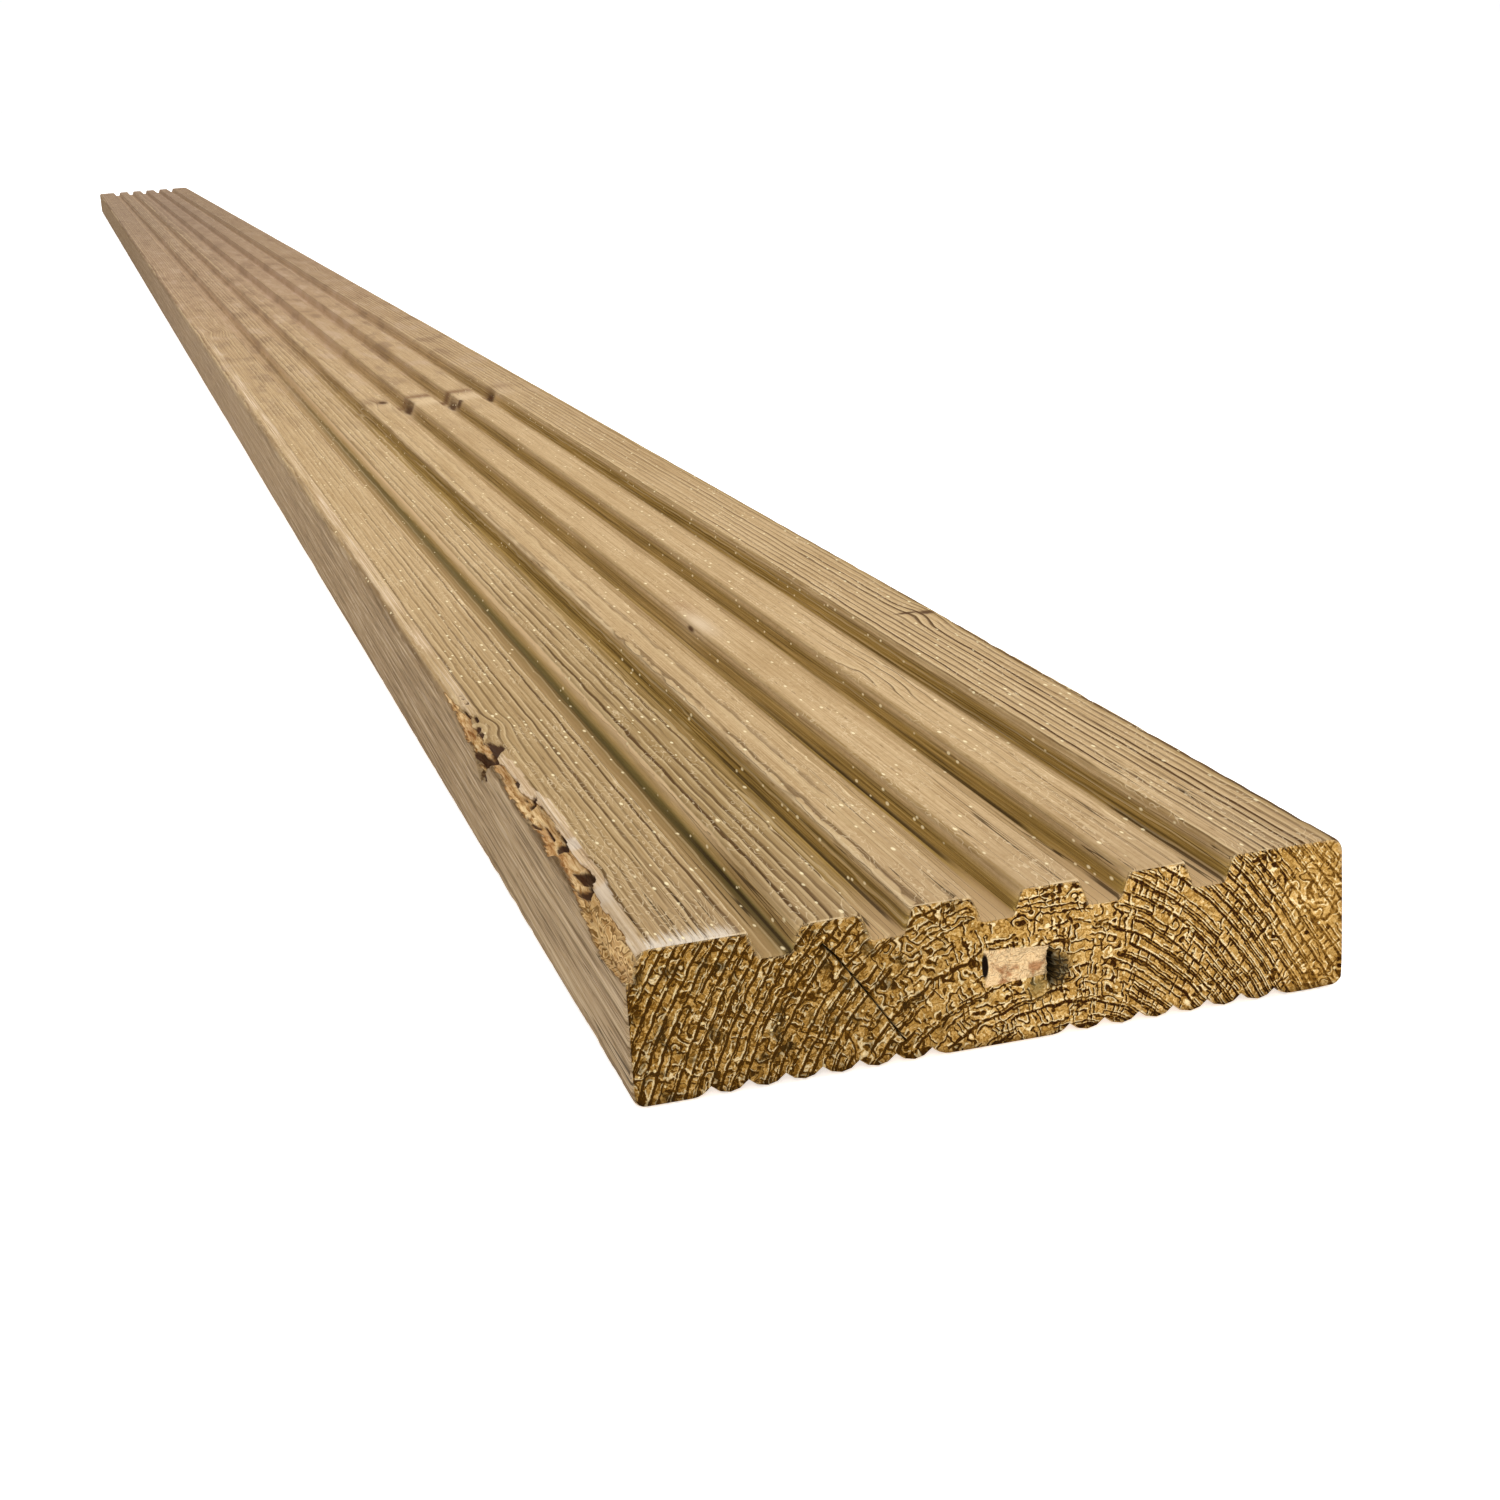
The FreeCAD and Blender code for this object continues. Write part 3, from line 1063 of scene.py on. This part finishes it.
def torn_wood(n, x, s, z, fibre):
    """Colour of the torn wood: golden fibres, orange in places, with curled lines by the near end, each with
    a painted highlight beside it.
    """
    colour = n.ramp(fibre, (0.34, 122, 78, 34), (0.46, 188, 148, 94), (0.60, 230, 198, 146))
    orange = n.noise(x * 0.2, s * 0.06, z * 0.2, 2.0).step(0.45, 0.6)
    colour = n.mix(orange * 0.4, colour, (166, 112, 62))
    curled = s.step(46.0, 36.0)
    colour = n.mix(curled * 0.5, colour, (166, 128, 72))
    curl = n.noise(x * 0.35, s * 0.20, z * 0.35, 1.5) * 6.0
    dark, pale = n.lines(curl, curl * 0.0, 1.0, 0.14)
    colour = n.mix(dark * curled * 0.7, colour, (92, 60, 16))
    return n.mix(pale * curled * 0.7, colour, (228, 194, 136))


def add_torn_edge(n, x, s, z, streak, fibre):
    """Torn wood with painted shade in its hollows and along its rims, and the pale ribbon beside it with
    painted glints, which goes on as a painted highlight along the rounded edge.
    """
    lip = n.mask("ribbon") + (streak - 0.5) * 0.6
    lip_colour = n.ramp(streak, (0.36, 174, 142, 104), (0.50, 210, 182, 146), (0.62, 234, 212, 182))
    # Painted glints: whitish patches on the ribbon by the near end
    ribbon_glint = n.noise(x * 0.1, s / 14, 0.9, 1.0).step(0.5, 0.62) * s.step(110.0, 60.0)
    lip_colour = n.mix(ribbon_glint * 0.5, lip_colour, (228, 216, 202))
    lip_colour = n.mix(s.step(50.0, 25.0) * 0.55, lip_colour, (180, 158, 128))
    n.tint(lip.step(0.2, 0.95) * 0.85, lip_colour)
    torn = n.mask("torn") + (fibre - 0.5) * 0.5
    n.tint(torn.step(0.4, 0.55), torn_wood(n, x, s, z, fibre))
    # Painted shadow along the rims of the torn wood, below the overhanging edge of the ribbon
    rim = torn.step(0.22, 0.45) * torn.step(0.85, 0.55)
    n.tint(rim * 0.6, (92, 58, 28))
    # Painted shade in the hollows of the tear and under its steps and chips
    pit = n.mask("pit") + (fibre - 0.5) * 1.1
    n.tint(pit.step(0.3, 0.8) * 0.95, (58, 32, 18))


def end_grain(n, x, z, radius):
    """Relief of the sawn end, about 0 to 1, and its grit: lines along the growth rings, lines across them
    from ring to ring, and patches of torn curls, each dark line with a painted highlight beside it. Rings
    are boldest at the left and right, cross lines in the middle and curls at the right edge."""
    left = x.step(-12.0, -36.0)
    right = x.step(16.0, 34.0)
    smooth = x.step(54.0, 64.0)
    angle = n.math("ARCTAN2", x - PITH_X, z - PITH_Z)
    wander = 1.0 - right * 0.75
    rings = radius + (n.noise(x * 0.22, 3.0, z * 0.22, 2.0) - 0.5) * wander * (2.6 - left * 1.4)
    bands = rings / 2.6
    rings = rings + (n.noise(x * 0.75, 11.0, z * 0.75, 1.0) - 0.5) * (wander * 0.9 + 0.3)
    around = angle * 52.0 + (n.noise(x * 0.22, 8.0, z * 0.22, 2.0) - 0.5) * wander * 4.0
    around = around + (n.noise(x * 0.75, 12.0, z * 0.75, 1.0) - 0.5) * (wander * 1.0 + 0.3)
    offset = n.chance((bands + 0.6).floor()) * 9.0
    band_dark, band_highlight = n.lines(bands, around / 16.0, n.larger(left, right) * 0.65 + 0.25, 0.11)
    ring_dark, ring_highlight = n.lines(rings / 1.3, around / 5.0, right * 0.3 + 0.44, 0.14)
    rung_dark, rung_highlight = n.lines(around / 1.15 + offset, bands + 0.6, 0.5 - right * 0.2, 0.15)
    curl = n.noise(x * 0.24, 6.0, z * 0.24, 1.5) * 7.0
    curl_dark, curl_highlight = n.lines(curl, curl * 0.0, 1.0, 0.15)
    wild = (n.noise(x * 0.15, 2.0, z * 0.15, 1.0) - right * 0.08 + smooth * 0.12).step(0.53, 0.55)
    dark = n.larger(ring_dark, rung_dark) * (1.0 - wild) + curl_dark * wild
    pale = n.larger(ring_highlight, rung_highlight) * (1.0 - wild) + curl_highlight * wild
    dark = n.larger(dark * (0.54 - left * 0.06), band_dark * (left * 0.12 + 0.64))
    # The painted highlights are patchy, and a little stronger at the left
    lit = n.noise(x * 0.5, 9.0, z * 0.5, 1.0).step(0.42, 0.56) * 0.75 + 0.25
    pale = n.larger(pale * 0.60, band_highlight * 0.50) * lit * (1.0 + left * 0.15)
    worm = (n.noise(x * 0.85, 2.0, z * 0.85, 1.5) - 0.5) * 15.0
    ripple = worm * n.math("EXPONENT", worm * worm * -1.0)
    tile = n.chance((bands + 0.6).floor(), (around / 5.0 + offset).floor())
    grit = n.noise(x * 1.7, 5.0, z * 1.7, 3.0, 0.65)
    relief = pale - dark + ripple * (left * 0.1 + 0.4)
    height = 0.52 + relief * (1.0 - smooth * 0.45) + tile * 0.12 + (grit - 0.5) * 0.8
    hole, seldom = n.spots(x / 2.3, 4.0, z / 2.3)
    return height - left * 0.09 - hole.step(0.25, 0.14) * seldom.step(0.62, 0.66) * 0.5, grit


def sawn_end():
    """Ends: growth rings, cross lines and the fuzz that a saw leaves. The colour follows the relief, with
    painted shade low and painted highlights high, and adds painted glints, a painted shadow along the bottom
    edge and painted shade in the near end's check and hollows.
    """
    n = Nodes("sawn_end")
    x, s, z = n.position()
    radius = ring_radius(n, x, s, z, 0.3)
    height, grit = end_grain(n, x, z, radius)
    # Colour from the relief: low places dark, partly as painted shade; the painted highlight edges bright
    n.colour = n.ramp(
        height,
        (0.02, 50, 22, 0),
        (0.28, 114, 76, 20),
        (0.52, 176, 132, 62),
        (0.76, 218, 176, 106),
        (0.98, 255, 228, 174),
    )
    left = x.step(8.0, -26.0)
    n.tint(left * 0.32, (100, 66, 6))
    stain = n.noise(x * 0.22, 1.0, z * 0.22, 3.0, 0.6).step(0.5, 0.68)
    n.tint(stain * (left * 0.6 + 0.15), (52, 36, 8))
    # Painted glints: small bright spots scattered over the end
    glint, often = n.spots(x / 1.6, 7.0, z / 1.6)
    n.tint(glint.step(0.24, 0.12) * often.step(0.76, 0.80) * 0.85, (252, 226, 166))
    # Painted shadow along the bottom edge of the end
    n.tint(z.step(2.0, 0.4) * 0.4, (60, 38, 12))
    n.tint(n.mask("rim") * z.step(22.0, 26.0) * 0.5, (238, 208, 156))
    add_end_knot(n, x, s, z, grit)
    n.finish(roughness=0.85, specular=0.05)
    n.bump(height * 0.5)
    return n.material


def add_end_knot(n, x, s, z, grit):
    """Pale knot in the near end, with painted shade in a slit on its left and over a hollow on its right."""
    near = s.step(20.0, 10.0)
    knot_x = x - END_KNOT[0]
    knot_z = z - END_KNOT[1]
    hollow_x = x - END_HOLLOW[0]
    hollow_z = z - END_HOLLOW[1]
    from_knot_x = knot_x / END_KNOT_HALF[0]
    taper = 1.0 - from_knot_x * 0.14
    from_knot_z = knot_z / END_KNOT_HALF[1] / taper
    knot = n.larger(abs(from_knot_x), abs(from_knot_z)).step(1.06, 0.96) * near
    knot_colour = n.ramp(grit, (0.3, 206, 160, 108), (0.5, 236, 202, 152))
    red = n.noise(x * 0.35, 9.0, z * 0.35, 2.0).step(0.5, 0.62) * from_knot_z.step(0.5, -0.3)
    knot_colour = n.mix(red * 0.75, knot_colour, (160, 98, 52))
    hole, seldom = n.spots(x / 1.7, 2.0, z / 1.7)
    knot_colour = n.mix(hole.step(0.3, 0.2) * seldom.step(0.7, 0.74), knot_colour, (52, 30, 10))
    n.tint(knot, knot_colour)
    # Painted shade in the slit on the knot's left
    slit = n.spot(knot_x + END_KNOT_HALF[0], knot_z - 0.6, 0.7, 2.8) * near
    n.tint(slit.step(0.3, 0.6), (22, 12, 6))
    # Painted shade over the hollow on the knot's right, ragged at its edge
    hair = n.noise((x + z) * 0.25, 4.0, (x - z) * 0.8, 2.0)
    smear = n.spot(hollow_x - 1.2, hollow_z + 0.5, 3.2, 4.4) * near
    n.tint((smear - (hair - 0.4) * 0.8).step(0.1, 0.8) * 0.85, (48, 40, 22))
    green = n.spot(hollow_x + 3.0, hollow_z + 3.6, 2.0, 2.2) * near
    n.tint(green * 0.7, (110, 98, 58))
    # Painted shade, near black, deep in the drying check and the hollow beside the knot
    n.tint(n.mask("hollow"), (18, 13, 6))


# Camera, as the photograph has it: place and directions in the board's frame
CAMERA_FROM_END = 397.9
CAMERA_PLACE = (-151.5, 183.1)
VIEW_DIRECTION = (0.24722, 0.92883, -0.27597)
VIEW_UP = (0.13519, 0.24896, 0.95903)
PICTURE_SIDE = 1500
FOCAL_PIXELS = 2411.3


def add_camera():
    data = bpy.data.cameras.new("camera")
    data.sensor_width = 36.0
    data.lens = FOCAL_PIXELS / PICTURE_SIDE * data.sensor_width
    data.clip_start = 0.01
    camera = bpy.data.objects.new("camera", data)
    bpy.context.scene.collection.objects.link(camera)
    forward = Vector(VIEW_DIRECTION).normalized()
    right = forward.cross(Vector(VIEW_UP)).normalized()
    up = right.cross(forward)
    turn = Matrix((right, up, -forward)).transposed().to_4x4()
    place = Vector((CAMERA_PLACE[0], NEAR_END - CAMERA_FROM_END, CAMERA_PLACE[1])) * MM
    camera.matrix_world = Matrix.Translation(place) @ turn
    bpy.context.scene.camera = camera


def add_sun(name, towards, strength, softness):
    """A broad soft light from a direction, so that the whole length is lit alike."""
    data = bpy.data.lights.new(name, "SUN")
    data.energy = strength
    data.angle = math.radians(softness)
    sun = bpy.data.objects.new(name, data)
    sun.rotation_mode = "QUATERNION"
    sun.rotation_quaternion = Vector(towards).to_track_quat("Z", "Y")
    bpy.context.scene.collection.objects.link(sun)


# Studio: directions towards the lights, their strengths and their softness in degrees
KEY_LIGHT = ((0.45, 0.25, 0.86), 0.55, 50)
FRONT_LIGHT = ((-0.20, -0.80, 0.57), 1.2, 25)
BRIGHT_SIDE = (0.47, 0.80, 0.37)
WALL_RANGE = (-0.7, 0.55)
WALL_STRENGTH = (0.3, 1.02)
WHITE = (1.0, 1.0, 1.0, 1.0)
FLOOR_HALF = 60.0
FLOOR_DROP = 0.0002
FLOOR_COLOUR = (0.97, 0.97, 0.97, 1.0)
FLOOR_GLOW = 0.55


def add_surroundings():
    """White studio walls, brightest behind the board and to its right."""
    world = bpy.data.worlds.new("studio")
    world.use_nodes = True
    tree = world.node_tree
    direction = tree.nodes.new("ShaderNodeTexCoord")
    towards = tree.nodes.new("ShaderNodeVectorMath")
    towards.operation = "DOT_PRODUCT"
    towards.inputs[1].default_value = BRIGHT_SIDE
    tree.links.new(direction.outputs["Generated"], towards.inputs[0])
    strength = tree.nodes.new("ShaderNodeMapRange")
    strength.interpolation_type = "SMOOTHSTEP"
    for name, value in zip(("From Min", "From Max", "To Min", "To Max"), WALL_RANGE + WALL_STRENGTH):
        strength.inputs[name].default_value = value
    tree.links.new(towards.outputs["Value"], strength.inputs["Value"])
    backdrop = tree.nodes["Background"]
    backdrop.inputs["Color"].default_value = WHITE
    tree.links.new(strength.outputs["Result"], backdrop.inputs["Strength"])
    bpy.context.scene.world = world
    bpy.context.scene.view_settings.view_transform = "Standard"


def add_floor():
    corners = [(x * FLOOR_HALF, y * FLOOR_HALF, 0.0) for x, y in ((-1, -1), (1, -1), (1, 1), (-1, 1))]
    mesh = bpy.data.meshes.new("floor")
    mesh.from_pydata(corners, [], [(0, 1, 2, 3)])
    floor = bpy.data.objects.new("floor", mesh)
    floor.location.z = -FLOOR_DROP
    bpy.context.scene.collection.objects.link(floor)
    n = Nodes("floor")
    n.colour = FLOOR_COLOUR
    n.finish(roughness=0.9, specular=0.1)
    n.shader.inputs["Emission Color"].default_value = WHITE
    n.shader.inputs["Emission Strength"].default_value = FLOOR_GLOW
    mesh.materials.append(n.material)


def add_studio():
    add_surroundings()
    add_sun("key", *KEY_LIGHT)
    add_sun("front", *FRONT_LIGHT)
    add_floor()


board = build_board()
board.data.materials.append(planed_wood())
board.data.materials.append(sawn_end())
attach(board, "root")
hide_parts("decking_board")
add_studio()
add_camera()
